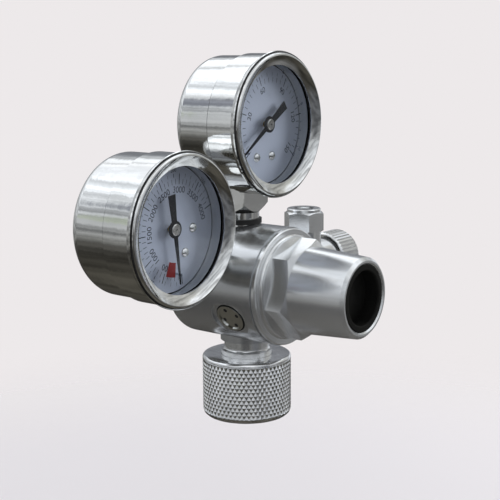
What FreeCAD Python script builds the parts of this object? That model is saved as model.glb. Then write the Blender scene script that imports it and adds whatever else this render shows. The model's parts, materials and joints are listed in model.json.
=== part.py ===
import FreeCAD, Part
import math
import os
from FreeCAD import Vector

# Aquarium carbon dioxide regulator, millimetres.
# The origin is the middle of the open mouth of the knurled cylinder nut, +Z up.
# The body lies along X and the bonnet points to +X. Both gauge dials face +X.
# The low pressure gauge stands on +Z, the high pressure gauge leans out on -Y,
# and the needle valve with the hose outlet leaves on +Y.

# Cylinder nut and inlet nipple
nut_radius = 13.2
nut_height = 18.0
nut_thread_radius = 10.9
nut_thread_length = 10.5
nut_thread_relief = 0.3
nut_neck_radius = 7.65
nut_top_round = 0.9
nut_knurl_low = 1.4
nut_knurl_high = 16.5
nut_groove_width = 0.4
nut_groove_depth = 0.3
nut_foot_chamfer = 0.8
nipple_collar_radius = 7.55
nipple_collar_rise = 1.45
nipple_neck_radius = 6.6
nipple_neck_length = 3.1
nipple_neck_cove = 0.9
nipple_flange_radius = 10.2
nipple_flange_thickness = 2.6
nipple_spigot_radius = 4.6
nipple_spigot_length = 2.0
nipple_thread_radius = 5.6
nipple_thread_length = 8.0
nipple_bore_radius = 1.6
filter_radius = 3.2
filter_length = 2.6
washer_radius = 8.6

# Regulator body
body_radius = 17.1
body_rear_reach = 17.0
body_front_reach = 14.4
body_rear_round = 2.0
boss_radius = 7.7
boss_drop = 0.35

# Bonnet
bonnet_thread_wall = 2.9
bonnet_thread_length = 3.4
flange_step = 0.3
flange_thickness = 1.5
flange_edge_chamfer = 0.3
collar_length = 1.3
collar_cove = 0.9
hex_width = 25.0
hex_length = 6.4
hex_turn = 15.6
hex_chamfer_angle = 30.0
barrel_radius = 12.4
barrel_length = 17.4
barrel_tip_radius = 11.3
barrel_tip_chamfer = 0.9
spring_room_radius = 9.2
bonnet_web_thickness = 5.0
cap_radius = 9.5
cap_length = 6.6
cap_set_back = 0.25
cap_wall = 1.9
cap_floor = 2.2

# Pressure setting: screw, button, spring and diaphragm
screw_radius = 6.0
screw_length = 6.4
screw_socket_width = 6.0
screw_socket_depth = 4.0
screw_tip_radius = 1.6
screw_travel_room = 2.4
button_radius = 8.4
button_thickness = 2.4
button_boss_radius = 4.6
button_boss_length = 1.4
spring_mean_radius = 6.6
spring_wire_radius = 0.85
spring_turns = 4.5
spring_wire_sides = 8
back_plate_radius = 8.8
back_plate_thickness = 1.1
back_plate_boss_radius = 4.6
back_plate_boss_length = 1.6
diaphragm_thickness = 0.4
slip_ring_thickness = 0.8
slip_ring_width = 2.4
low_chamber_radius = 11.0
low_chamber_depth = 5.3
pusher_radius = 6.0
pusher_thickness = 0.9
pusher_pin_radius = 0.55

# Nozzle and poppet
nozzle_thread_radius = 3.9
nozzle_thread_length = 4.0
nozzle_head_width = 8.0
nozzle_head_height = 2.0
nozzle_bore_radius = 0.9
nozzle_lip_radius = 1.4
nozzle_lip_height = 0.4
high_chamber_radius = 3.2
high_chamber_depth = 11.5
poppet_radius = 2.6
poppet_head_length = 2.0
poppet_stem_radius = 1.4
poppet_stem_length = 3.2
poppet_spring_radius = 2.1
poppet_spring_wire = 0.3
poppet_spring_turns = 5.0

# Passages and ports round the body
port_x = -1.5
port_thread_radius = 5.0
port_floor_height = 9.0
passage_radius = 1.0
low_passage_height = 9.9
high_gauge_angle = 62.2

# Relief valve on the lower front of the body
relief_x = 5.7
relief_angle = 208.0
relief_face_drop = 0.7
relief_face_radius = 6.2
relief_pocket_radius = 4.75
relief_pocket_depth = 1.0
relief_plug_radius = 4.35
relief_rim_width = 0.5
relief_rim_height = 0.35
relief_plug_thickness = 1.3
relief_thread_radius = 3.3
relief_thread_length = 1.5
relief_hole_radius = 0.4
relief_hole_circle = 2.7
relief_hole_turn = 23.0
relief_seat_depth = 4.8
relief_seat_radius = 1.0
relief_disc_radius = 2.3
relief_disc_thickness = 0.7
relief_spring_radius = 1.7
relief_spring_wire = 0.25
relief_spring_turns = 2.5

# Gauges: distances along X are counted back from the bezel's widest edge
gauge_face_x = 12.3
gauge_rise = 28.8
bezel_overhang = 1.3
bezel_skirt_wall = 0.6
bezel_skirt_reach = 10.0
bezel_crest_rise = 0.9
bezel_crest_inset = 1.3
bezel_groove_depth = 0.55
bezel_face_width = 2.6
window_depth = 0.6
bezel_lip = 0.25
case_radius = 19.2
case_wall = 2.2
case_back_wall = 1.5
case_back_reach = 22.8
case_back_round = 3.0
gasket_thickness = 0.6
gasket_show = 0.1
lens_gap = 0.1
lens_thickness = 1.5
dial_depth = 6.0
dial_gap = 0.2
dial_thickness = 0.4
stem_square = 11.0
stem_neck_radius = 5.2
stem_neck_rise = 3.3
stem_bore_radius = 1.0
seal_radius = 5.9
seal_height = 1.4
case_hole_radius = 3.7
socket_block_width = 7.2
socket_block_height = 4.4

# Gauge movement
plate_thickness = 1.0
plate_gap = 5.4
plate_half_width = 4.6
plate_top = 4.4
plate_bottom = 10.6
plate_corner_round = 1.6
pillar_radius = 1.0
arbor_radius = 0.5
pivot_clearance = 0.04
gear_module = 0.2
pinion_teeth = 10
sector_teeth_full = 80
sector_first_tooth = -8
sector_last_tooth = 2
sector_hub_radius = 1.6
sector_thickness = 0.9
sector_tail = 4.2
sector_tail_angle = -28.0
tube_radius = 12.6
tube_width = 5.0
tube_depth = 1.5
tube_tip_angle = -14.0
tube_root_angle = 252.0
tip_pin_radius = 0.35
link_thickness = 0.5
link_width = 1.3
hairspring_wire = 0.12
hairspring_inner = 0.75
hairspring_step = 0.55
hairspring_turns = 3
hairspring_height = 0.6
hairspring_stud_radius = 0.3
pointer_zero_angle = -145.5
pointer_tip_inset = 2.0
pointer_tail = 9.1
pointer_hub_radius = 2.3
pointer_thickness = 0.35
pointer_lift = 1.7
pointer_cap_radius = 1.55
pointer_cap_height = 0.45
dial_screw_spacing = 7.0
high_dial_screw_drop = 8.45
low_dial_screw_drop = 9.2
dial_screw_radius = 0.6
dial_screw_head_radius = 1.35
dial_screw_head_height = 0.8
stop_pin_radius = 0.3
stop_pin_place = 12.3
stop_pin_height = 2.5

# Needle valve and hose outlet
valve_radius = 6.5
valve_shoulder_gap = 0.1
valve_outlet_reach = 13.05
valve_length = 25.0
valve_bore_radius = 2.6
valve_seat_reach = 10.0
valve_seat_radius = 0.9
needle_length = 5.2
needle_tip_length = 2.2
needle_room = 2.4
needle_socket_radius = 1.2
needle_socket_depth = 3.6
stem_radius = 2.0
stem_seal_room = 1.0
gland_radius = 4.0
gland_length = 2.4
stem_collar_radius = 2.5
knob_radius = 8.0
knob_length = 9.3
knob_overlap = 1.0
knob_recess_radius = 7.2
knob_recess_depth = 2.6
knob_flutes = 44
knob_flute_depth = 0.3
knob_edge_chamfer = 0.5
knob_screw_head_radius = 2.6
knob_screw_head_height = 1.4
knob_screw_radius = 1.2
knob_screw_length = 5.0
outlet_neck_radius = 5.4
outlet_nut_low = 10.3
outlet_nut_high = 17.5
outlet_nut_width = 11.1
outlet_nut_turn = 19.8
outlet_ring_radius = 5.3
outlet_ring_height = 1.0
outlet_thread_radius = 4.2
outlet_thread_length = 3.2
outlet_nut_hole_radius = 3.1
hose_barb_radius = 2.2
hose_barb_bore = 1.3
hose_barb_drop = 0.4
hose_barb_slope = 1.0
clamp_ring_height = 0.9

# General clearances
running_gap = 0.05
seat_gap = 0.3

# Places that follow from the sizes above
nut_shoulder_z = nut_height - 2.7
collar_top_z = nut_height + nipple_collar_rise
boss_face_z = collar_top_z + nipple_neck_length
axis_height = boss_face_z + boss_drop + body_radius
flange_radius = body_radius - flange_step
bonnet_thread_radius = body_radius - bonnet_thread_wall
relief_face_height = body_radius - relief_face_drop
relief_seat_height = relief_face_height - relief_seat_depth
stem_neck_height = body_radius + stem_neck_rise
gauge_height = body_radius + gauge_rise
valve_shoulder_y = body_radius + seal_height + valve_shoulder_gap
valve_seat_y = valve_shoulder_y + valve_seat_reach
valve_outlet_y = valve_shoulder_y + valve_outlet_reach
valve_end_y = valve_shoulder_y + valve_length
stem_seal_y = valve_end_y - gland_length - stem_seal_room
knob_start_y = valve_end_y - knob_overlap
bezel_radius = case_radius + bezel_overhang
bezel_skirt_radius = case_radius + bezel_skirt_wall
bezel_crest_radius = bezel_radius - bezel_crest_inset
window_radius = case_radius - bezel_face_width
gasket_inner_radius = window_radius + gasket_show
lens_radius = case_radius - lens_gap
dial_radius = case_radius - case_wall - dial_gap
pointer_tip = dial_radius - pointer_tip_inset
stem_blank_radius = stem_square * 0.72
flange_front_x = body_front_reach + flange_thickness
collar_end_x = flange_front_x + collar_length
hex_end_x = collar_end_x + hex_length
hex_corner_radius = hex_width / 2 / math.cos(math.pi / 6)
bonnet_tip_x = hex_end_x + barrel_length
bonnet_nose_x = body_front_reach - bonnet_thread_length
slip_ring_x = bonnet_nose_x - slip_ring_thickness
diaphragm_x = slip_ring_x - diaphragm_thickness
low_floor_x = diaphragm_x - low_chamber_depth
nozzle_back_x = low_floor_x - nozzle_thread_length
seat_x = nozzle_back_x - nozzle_lip_height
cap_front_x = bonnet_tip_x - cap_set_back
cap_back_x = cap_front_x - cap_length
web_front_x = cap_back_x - seat_gap
web_back_x = web_front_x - bonnet_web_thickness
screw_back_x = web_front_x - screw_travel_room - screw_length
button_front_x = screw_back_x
button_back_x = button_front_x - button_thickness
spring_front_x = button_back_x
back_plate_x = diaphragm_x + diaphragm_thickness
spring_back_x = back_plate_x + back_plate_thickness
case_front_dx = -(window_depth + bezel_lip + gasket_thickness + lens_thickness)
front_plate_dx = -(dial_depth + dial_thickness + plate_thickness)
rear_plate_dx = front_plate_dx - plate_gap - plate_thickness
gear_plane_dx = front_plate_dx - plate_thickness
sector_pitch_radius = gear_module * sector_teeth_full / 2
pinion_pitch_radius = gear_module * pinion_teeth / 2
gear_distance = sector_pitch_radius + pinion_pitch_radius
pointer_back_dx = -dial_depth + pointer_lift
socket_top_height = gauge_height - plate_bottom
hairspring_dx = rear_plate_dx + plate_thickness + hairspring_height
hairspring_end = hairspring_inner + hairspring_turns * hairspring_step
link_back_dx = gear_plane_dx - sector_thickness - link_thickness - 0.1

AXIS_X = Vector(1, 0, 0)
AXIS_Y = Vector(0, 1, 0)
AXIS_Z = Vector(0, 0, 1)
ORIGIN = Vector(0, 0, 0)


def save(shape, name):
    shape.exportStep(os.path.join("parts", name + ".step"))


def lifted(shape):
    """Move a shape made round the body's axis up to its place."""
    moved = shape.copy()
    moved.translate(Vector(0, 0, axis_height))
    return moved


def outline_face(points, at):
    """A face from corner points; a point marked arc carries its middle point."""
    edges = []
    corners = points + [points[0]]
    for here, there in zip(corners, corners[1:]):
        start = at(here[0], here[1])
        end = at(there[0], there[1])
        if len(there) == 4:
            middle = at(there[2], there[3])
            edges.append(Part.Arc(start, middle, end).toShape())
        else:
            edges.append(Part.makeLine(start, end))
    return Part.Face(Part.Wire(edges))


def turned_x(points):
    """Turn an outline of (x, radius) points about the X axis."""
    face = outline_face(points, lambda x, r: Vector(x, 0, r))
    return face.revolve(ORIGIN, AXIS_X, 360)


def turned_z(points):
    """Turn an outline of (radius, z) points about the Z axis."""
    face = outline_face(points, lambda r, z: Vector(r, 0, z))
    return face.revolve(ORIGIN, AXIS_Z, 360)


def turned_y(points):
    """Turn an outline of (radius, y) points about the Y axis."""
    face = outline_face(points, lambda r, y: Vector(r, y, 0))
    return face.revolve(ORIGIN, AXIS_Y, 360)


def rod_x(x_from, x_to, radius, y=0.0, z=0.0):
    return Part.makeCylinder(radius, x_to - x_from, Vector(x_from, y, z), AXIS_X)


def rod_y(y_from, y_to, radius, x=0.0, z=0.0):
    return Part.makeCylinder(radius, y_to - y_from, Vector(x, y_from, z), AXIS_Y)


def rod_z(z_from, z_to, radius, x=0.0, y=0.0):
    return Part.makeCylinder(radius, z_to - z_from, Vector(x, y, z_from), AXIS_Z)


def hexagon(across_flats, length, direction, turn):
    """A hexagonal bar that starts at the origin; turn moves its corners."""
    radius = across_flats / 2 / math.cos(math.pi / 6)
    corners = []
    for k in range(7):
        angle = math.radians(turn + 60 * k)
        if direction is AXIS_X:
            corners.append(Vector(0, radius * math.cos(angle), radius * math.sin(angle)))
        else:
            corners.append(Vector(radius * math.cos(angle), radius * math.sin(angle), 0))
    return Part.Face(Part.makePolygon(corners)).extrude(direction * length)


def coil(x_from, x_to, mean_radius, wire_radius, turns):
    """A compression spring along X whose wire stays inside both end planes."""
    length = x_to - x_from - 2 * wire_radius
    helix = Part.makeHelix(length / turns, length, mean_radius)
    corners = []
    for k in range(spring_wire_sides + 1):
        angle = 2 * math.pi * k / spring_wire_sides
        corners.append(Vector(mean_radius + wire_radius * math.cos(angle), 0, wire_radius * math.sin(angle)))
    section = Part.makePolygon(corners)
    spring = Part.Wire(helix.Edges).makePipeShell([section], True, True)
    spring.rotate(ORIGIN, AXIS_Y, 90)
    spring.translate(Vector(x_from + wire_radius, 0, 0))
    return spring


def gauge_place(shape, lean):
    """Set a shape made round a gauge's own centre on its stem, then lean it."""
    placed = shape.copy()
    placed.translate(Vector(0, 0, gauge_height))
    placed.rotate(ORIGIN, AXIS_X, lean)
    return lifted(placed)


def stem_place(shape, lean):
    """Lean a shape made on the upright stem line."""
    placed = shape.copy()
    placed.rotate(ORIGIN, AXIS_X, lean)
    return lifted(placed)


def relief_place(shape):
    """Turn a shape made upright along +Z to the relief valve's direction."""
    placed = shape.copy()
    placed.rotate(ORIGIN, AXIS_X, relief_angle - 90)
    placed.translate(Vector(relief_x, 0, 0))
    return lifted(placed)


# Cylinder connection

def knurled_nut():
    groove_low = nut_knurl_high
    groove_high = nut_knurl_high + nut_groove_width
    groove_radius = nut_radius - nut_groove_depth
    top_start = nut_height - nut_top_round
    foot = nut_radius - nut_foot_chamfer
    round_middle = nut_top_round * (1 - math.sqrt(0.5))
    return turned_z([
        (nut_thread_radius, 0),
        (foot, 0),
        (nut_radius, nut_knurl_low),
        (nut_radius, groove_low),
        (groove_radius, groove_low),
        (groove_radius, groove_high),
        (nut_radius - 0.05, groove_high),
        (nut_radius - 0.05, top_start),
        (nut_radius - nut_top_round, nut_height, nut_radius - round_middle, nut_height - round_middle),
        (nut_neck_radius, nut_height),
        (nut_neck_radius, nut_shoulder_z),
        (nut_thread_radius + nut_thread_relief, nut_shoulder_z),
        (nut_thread_radius + nut_thread_relief, nut_thread_length),
        (nut_thread_radius, nut_thread_length),
    ])


def inlet_nipple():
    flange_top = nut_shoulder_z
    flange_low = flange_top - nipple_flange_thickness
    spigot_low = flange_low - nipple_spigot_length
    thread_top = boss_face_z + nipple_thread_length
    cove = nipple_collar_radius - nipple_neck_radius
    cove_middle = cove * (1 - math.sqrt(0.5))
    body = turned_z([
        (nipple_bore_radius, spigot_low + filter_length),
        (filter_radius, spigot_low + filter_length),
        (filter_radius, spigot_low),
        (nipple_spigot_radius, spigot_low),
        (nipple_spigot_radius, flange_low),
        (nipple_flange_radius, flange_low),
        (nipple_flange_radius, flange_top),
        (nipple_collar_radius, flange_top),
        (nipple_collar_radius, collar_top_z),
        (nipple_neck_radius + cove * 0.6, collar_top_z),
        (nipple_neck_radius, collar_top_z + nipple_neck_cove,
         nipple_neck_radius + cove_middle * 0.6, collar_top_z + nipple_neck_cove * 0.3),
        (nipple_neck_radius, boss_face_z),
        (nipple_thread_radius, boss_face_z),
        (nipple_thread_radius, thread_top),
        (nipple_bore_radius, thread_top),
    ])
    return body


def inlet_filter():
    low = nut_shoulder_z - nipple_flange_thickness - nipple_spigot_length
    return rod_z(low, low + filter_length, filter_radius)


def inlet_washer():
    high = nut_shoulder_z - nipple_flange_thickness
    low = high - nipple_spigot_length
    return turned_z([
        (nipple_spigot_radius, low),
        (washer_radius, low),
        (washer_radius, high),
        (nipple_spigot_radius, high),
    ])


# Body

def relief_tool():
    """Everything that is cut for the relief valve, upright along +Z."""
    pocket_floor = relief_face_height - relief_pocket_depth
    face = rod_z(relief_face_height, body_radius + 2, relief_face_radius)
    pocket = rod_z(pocket_floor, body_radius + 2, relief_pocket_radius)
    thread = rod_z(relief_seat_height, pocket_floor, relief_thread_radius)
    inlet = rod_z(low_chamber_radius - 3, relief_seat_height, relief_seat_radius)
    tool = face.fuse([pocket, thread, inlet])
    tool.rotate(ORIGIN, AXIS_X, relief_angle - 90)
    tool.translate(Vector(relief_x, 0, 0))
    return tool


def side_port(lean):
    port = rod_z(port_floor_height, body_radius + 2, port_thread_radius, port_x)
    port.rotate(ORIGIN, AXIS_X, lean)
    return port


def low_passage(angle):
    """The drilling along X that joins a port's floor to the low chamber."""
    reach = port_x - passage_radius
    hole = rod_x(reach, low_floor_x + 1, passage_radius, 0, low_passage_height)
    hole.rotate(ORIGIN, AXIS_X, angle)
    return hole


def regulator_body():
    rear = -body_rear_reach
    middle = body_rear_round * (1 - math.sqrt(0.5))
    outside = turned_x([
        (rear, 0),
        (rear, body_radius - body_rear_round),
        (rear + body_rear_round, body_radius, rear + middle, body_radius - middle),
        (body_front_reach, body_radius),
        (body_front_reach, bonnet_thread_radius),
        (diaphragm_x, bonnet_thread_radius),
        (diaphragm_x, low_chamber_radius),
        (low_floor_x, low_chamber_radius),
        (low_floor_x, nozzle_thread_radius),
        (nozzle_back_x, nozzle_thread_radius),
        (nozzle_back_x, high_chamber_radius),
        (nozzle_back_x - high_chamber_depth, high_chamber_radius),
        (nozzle_back_x - high_chamber_depth, 0),
    ])
    boss_low = boss_face_z - axis_height
    boss = rod_z(boss_low, -body_radius / 2, boss_radius)
    boss = boss.cut(rod_x(-body_rear_reach, body_front_reach, body_radius - 1))
    nipple_hole = rod_z(boss_low, boss_low + nipple_thread_length, nipple_thread_radius)
    inlet_hole = rod_z(boss_low, 0, nipple_bore_radius)
    gauge_hole = rod_z(high_chamber_radius - 1, port_floor_height, passage_radius, port_x)
    gauge_hole.rotate(ORIGIN, AXIS_X, high_gauge_angle)
    cuts = [nipple_hole, inlet_hole, gauge_hole, relief_tool()]
    cuts += [side_port(0), side_port(high_gauge_angle), side_port(-90)]
    cuts += [low_passage(0), low_passage(-90)]
    return lifted(outside.fuse(boss).cut(cuts).removeSplitter())


# Bonnet and pressure setting

def bonnet():
    chamfer_rise = (hex_corner_radius - barrel_radius) * math.tan(math.radians(hex_chamfer_angle))
    cone_base_x = hex_end_x - chamfer_rise
    bar = hexagon(hex_width, hex_end_x - flange_front_x, AXIS_X, hex_turn)
    bar.translate(Vector(flange_front_x, 0, 0))
    envelope = turned_x([
        (flange_front_x, 0),
        (flange_front_x, hex_corner_radius),
        (cone_base_x, hex_corner_radius),
        (hex_end_x, barrel_radius),
        (hex_end_x, 0),
    ])
    bar = bar.common(envelope)
    slope = (barrel_radius - barrel_tip_radius) / barrel_length
    chamfer_x = bonnet_tip_x - barrel_tip_chamfer
    chamfer_r = barrel_tip_radius + slope * barrel_tip_chamfer
    cove = collar_cove * (1 - math.sqrt(0.5))
    edge = flange_edge_chamfer
    shell = turned_x([
        (bonnet_nose_x, spring_room_radius),
        (bonnet_nose_x, bonnet_thread_radius),
        (body_front_reach, bonnet_thread_radius),
        (body_front_reach, flange_radius - edge),
        (body_front_reach + edge, flange_radius),
        (flange_front_x - edge, flange_radius),
        (flange_front_x, flange_radius - edge),
        (flange_front_x, hex_corner_radius + collar_cove),
        (flange_front_x + collar_cove, hex_corner_radius, flange_front_x + cove, hex_corner_radius + cove),
        (collar_end_x, hex_corner_radius),
        (collar_end_x + 0.8, hex_width / 2),
        (collar_end_x + 0.8, barrel_radius - 1),
        (hex_end_x, barrel_radius - 1),
        (hex_end_x, barrel_radius),
        (chamfer_x, chamfer_r),
        (bonnet_tip_x, chamfer_r - barrel_tip_chamfer),
        (bonnet_tip_x, cap_radius + 0.4),
        (bonnet_tip_x - 0.4, cap_radius),
        (web_front_x, cap_radius),
        (web_front_x, screw_radius + running_gap),
        (web_back_x, screw_radius + running_gap),
        (web_back_x, spring_room_radius),
    ])
    hollow = rod_x(flange_front_x - 1, hex_end_x + 1, spring_room_radius)
    return lifted(shell.fuse(bar.cut(hollow)).removeSplitter())


def bonnet_cap():
    inner = cap_radius - cap_wall
    round_middle = 0.5 * (1 - math.sqrt(0.5))
    return lifted(turned_x([
        (cap_back_x, 0),
        (cap_back_x, cap_radius),
        (cap_front_x - 0.5, cap_radius),
        (cap_front_x, cap_radius - 0.5, cap_front_x - round_middle, cap_radius - round_middle),
        (cap_front_x, inner + 0.5),
        (cap_front_x - 0.5, inner, cap_front_x - round_middle, inner + round_middle),
        (cap_back_x + cap_floor, inner),
        (cap_back_x + cap_floor, 0),
    ]))


def adjusting_screw():
    tip_x = screw_back_x - screw_tip_radius / 2
    screw_end_x = screw_back_x + screw_length
    shank = turned_x([
        (tip_x, 0),
        (screw_back_x, screw_tip_radius),
        (screw_back_x, screw_radius - 0.6),
        (screw_back_x + 0.6, screw_radius),
        (screw_end_x - 0.6, screw_radius),
        (screw_end_x, screw_radius - 0.6),
        (screw_end_x, 0),
    ])
    socket = hexagon(screw_socket_width, screw_socket_depth, AXIS_X, 0)
    socket.translate(Vector(screw_end_x - screw_socket_depth, 0, 0))
    return lifted(shank.cut(socket))


def spring_button():
    dimple = screw_tip_radius / 2 + running_gap
    return lifted(turned_x([
        (button_back_x - button_boss_length, 0),
        (button_back_x - button_boss_length, button_boss_radius),
        (button_back_x, button_boss_radius),
        (button_back_x, button_radius),
        (button_front_x - running_gap, button_radius),
        (button_front_x - running_gap, screw_tip_radius + running_gap),
        (button_front_x - running_gap - dimple, 0),
    ]))


def main_spring():
    return lifted(coil(spring_back_x, spring_front_x, spring_mean_radius,
                       spring_wire_radius, spring_turns))


def back_plate():
    return lifted(turned_x([
        (back_plate_x, 0),
        (back_plate_x, back_plate_radius),
        (back_plate_x + back_plate_thickness, back_plate_radius),
        (back_plate_x + back_plate_thickness, back_plate_boss_radius),
        (back_plate_x + back_plate_thickness + back_plate_boss_length, back_plate_boss_radius),
        (back_plate_x + back_plate_thickness + back_plate_boss_length, 0),
    ]))


def diaphragm():
    return lifted(rod_x(diaphragm_x, back_plate_x, bonnet_thread_radius))


def slip_ring():
    return lifted(turned_x([
        (slip_ring_x, bonnet_thread_radius - slip_ring_width),
        (slip_ring_x, bonnet_thread_radius),
        (bonnet_nose_x, bonnet_thread_radius),
        (bonnet_nose_x, bonnet_thread_radius - slip_ring_width),
    ]))


def pusher():
    return lifted(turned_x([
        (seat_x, 0),
        (seat_x, pusher_pin_radius),
        (diaphragm_x - pusher_thickness, pusher_pin_radius),
        (diaphragm_x - pusher_thickness, pusher_radius),
        (diaphragm_x, pusher_radius),
        (diaphragm_x, 0),
    ]))


def seat_nozzle():
    head_front = low_floor_x + nozzle_head_height
    shank = turned_x([
        (nozzle_back_x, nozzle_bore_radius),
        (seat_x, nozzle_bore_radius),
        (seat_x, nozzle_lip_radius),
        (nozzle_back_x, nozzle_lip_radius),
        (nozzle_back_x, nozzle_thread_radius),
        (low_floor_x, nozzle_thread_radius),
        (low_floor_x, nozzle_bore_radius),
    ])
    head = hexagon(nozzle_head_width, nozzle_head_height, AXIS_X, 0)
    head.translate(Vector(low_floor_x, 0, 0))
    head = head.cut(rod_x(low_floor_x, head_front, nozzle_bore_radius))
    return lifted(shank.fuse(head))


def poppet():
    head_back = seat_x - poppet_head_length
    return lifted(turned_x([
        (head_back - poppet_stem_length, 0),
        (head_back - poppet_stem_length, poppet_stem_radius),
        (head_back, poppet_stem_radius),
        (head_back, poppet_radius),
        (seat_x, poppet_radius),
        (seat_x, 0),
    ]))


def poppet_spring():
    back = nozzle_back_x - high_chamber_depth
    return lifted(coil(back, seat_x - poppet_head_length, poppet_spring_radius,
                       poppet_spring_wire, poppet_spring_turns))


# Relief valve

def relief_plug():
    floor = relief_face_height - relief_pocket_depth
    top = floor + relief_plug_thickness
    rim = relief_plug_radius - relief_rim_width
    plug = turned_z([
        (0, floor - relief_thread_length),
        (relief_thread_radius, floor - relief_thread_length),
        (relief_thread_radius, floor),
        (relief_plug_radius, floor),
        (relief_plug_radius, top),
        (rim, top),
        (rim, top - relief_rim_height),
        (0, top - relief_rim_height),
    ])
    holes = []
    for k in range(4):
        angle = math.radians(relief_hole_turn + 90 * k)
        x = relief_hole_circle * math.cos(angle)
        y = relief_hole_circle * math.sin(angle)
        holes.append(rod_z(floor - relief_thread_length, top, relief_hole_radius, x, y))
    return relief_place(plug.cut(holes))


def relief_disc():
    return relief_place(rod_z(relief_seat_height, relief_seat_height + relief_disc_thickness,
                              relief_disc_radius))


def relief_spring():
    low = relief_seat_height + relief_disc_thickness
    high = relief_face_height - relief_pocket_depth - relief_thread_length
    spring = coil(low, high, relief_spring_radius, relief_spring_wire, relief_spring_turns)
    spring.rotate(ORIGIN, AXIS_Y, -90)
    return relief_place(spring)


# Gauges

def gauge_bezel():
    crest = bezel_crest_rise
    step = bezel_radius - bezel_skirt_radius
    groove_r = bezel_radius - bezel_groove_depth
    lip_back = -(window_depth + bezel_lip)
    funnel_middle_r = (bezel_crest_radius + window_radius) / 2
    return turned_x([
        (gauge_face_x - bezel_skirt_reach, case_radius),
        (gauge_face_x - bezel_skirt_reach, bezel_skirt_radius - 0.15),
        (gauge_face_x - bezel_skirt_reach + 0.15, bezel_skirt_radius),
        (gauge_face_x - 2 * step - 0.3, bezel_skirt_radius),
        (gauge_face_x - 0.35, bezel_radius),
        (gauge_face_x, bezel_radius - 0.1),
        (gauge_face_x - 0.1, groove_r),
        (gauge_face_x + 0.35, groove_r),
        (gauge_face_x + crest, bezel_crest_radius, gauge_face_x + crest - 0.15, groove_r - 0.3),
        (gauge_face_x - window_depth, window_radius, gauge_face_x + 0.0, funnel_middle_r),
        (gauge_face_x + lip_back, window_radius),
        (gauge_face_x + lip_back, case_radius),
    ])


def gauge_case():
    front = gauge_face_x + case_front_dx
    back = gauge_face_x - case_back_reach
    inner = case_radius - case_wall
    middle = case_back_round * (1 - math.sqrt(0.5))
    shell = turned_x([
        (front, inner),
        (front, case_radius),
        (back + case_back_round, case_radius),
        (back, case_radius - case_back_round, back + middle, case_radius - middle),
        (back, 0),
        (back + case_back_wall, 0),
        (back + case_back_wall, inner),
    ])
    hole = rod_z(-case_radius - 1, -inner + 2, case_hole_radius, port_x)
    return shell.cut(hole)


def gauge_gasket():
    front = gauge_face_x - window_depth - bezel_lip
    return turned_x([
        (front - gasket_thickness, gasket_inner_radius),
        (front - gasket_thickness, lens_radius),
        (front, lens_radius),
        (front, gasket_inner_radius),
    ])


def gauge_lens():
    front = gauge_face_x - window_depth - bezel_lip - gasket_thickness
    return rod_x(front - lens_thickness, front, lens_radius)


def gauge_dial(screw_drop):
    front = gauge_face_x - dial_depth
    back = front - dial_thickness
    plate = rod_x(back, front, dial_radius)
    cuts = [rod_x(back, front, arbor_radius + 0.3)]
    for side in (-0.5, 0.5):
        cuts.append(rod_x(back, front, dial_screw_radius, side * dial_screw_spacing, -screw_drop))
    angle = math.radians(pointer_zero_angle + 3.0)
    y = stop_pin_place * math.cos(angle)
    z = stop_pin_place * math.sin(angle)
    pin = rod_x(back, front + stop_pin_height, stop_pin_radius, y, z)
    return plate.cut(cuts).fuse(pin)


def dial_screws(screw_drop):
    front = gauge_face_x - dial_depth
    length = dial_thickness + plate_thickness
    screws = []
    for side in (-0.5, 0.5):
        y = side * dial_screw_spacing
        shank = rod_x(front - length, front, dial_screw_radius, y, -screw_drop)
        head = turned_x([
            (front, 0),
            (front, dial_screw_head_radius),
            (front + dial_screw_head_height, 0,
             front + dial_screw_head_height * 0.7, dial_screw_head_radius * 0.65),
        ])
        head.translate(Vector(0, y, -screw_drop))
        slot_width = dial_screw_head_radius / 4
        slot = Part.makeBox(dial_screw_head_height, 3 * dial_screw_head_radius, slot_width)
        slot.translate(Vector(front + dial_screw_head_height / 2, y - 1.5 * dial_screw_head_radius,
                              -screw_drop - slot_width / 2))
        screws.append(shank.fuse(head.cut(slot)))
    return Part.makeCompound(screws)


def gauge_stem():
    """The square socket on its upright stem line, measured from the body axis."""
    half = stem_square / 2
    lower = turned_z([
        (0, port_floor_height),
        (port_thread_radius - 0.4, port_floor_height),
        (port_thread_radius, port_floor_height + 0.4),
        (port_thread_radius, body_radius),
        (stem_neck_radius, body_radius + seal_height),
        (stem_neck_radius, stem_neck_height),
        (stem_blank_radius, stem_neck_height + stem_blank_radius - stem_neck_radius),
        (stem_blank_radius, gauge_height - case_radius + 3),
        (0, gauge_height - case_radius + 3),
    ])
    lower.translate(Vector(port_x, 0, 0))
    square = Part.makeBox(stem_square, stem_square, gauge_height)
    square.translate(Vector(port_x - half, -half, 0))
    block = lower.common(square)
    reach = 2 * case_back_reach
    case_space = rod_x(-reach, reach, case_radius, 0, gauge_height)
    skirt_back = gauge_face_x - bezel_skirt_reach - 0.2
    skirt_space = rod_x(skirt_back, reach, bezel_skirt_radius + 0.2, 0, gauge_height)
    block = block.cut([case_space, skirt_space])
    block_low = socket_top_height - socket_block_height
    spigot = rod_z(gauge_height - case_radius - 2, block_low, case_hole_radius, port_x)
    half_block = socket_block_width / 2
    spigot = spigot.fuse(Part.makeBox(socket_block_width, socket_block_width, socket_block_height,
                                      Vector(port_x - half_block, -half_block, block_low)))
    bore = rod_z(port_floor_height, block_low + 1, stem_bore_radius, port_x)
    tube = bourdon_tube()
    tube.translate(Vector(0, 0, gauge_height))
    return block.fuse(spigot).cut([bore, tube]).removeSplitter()


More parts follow.
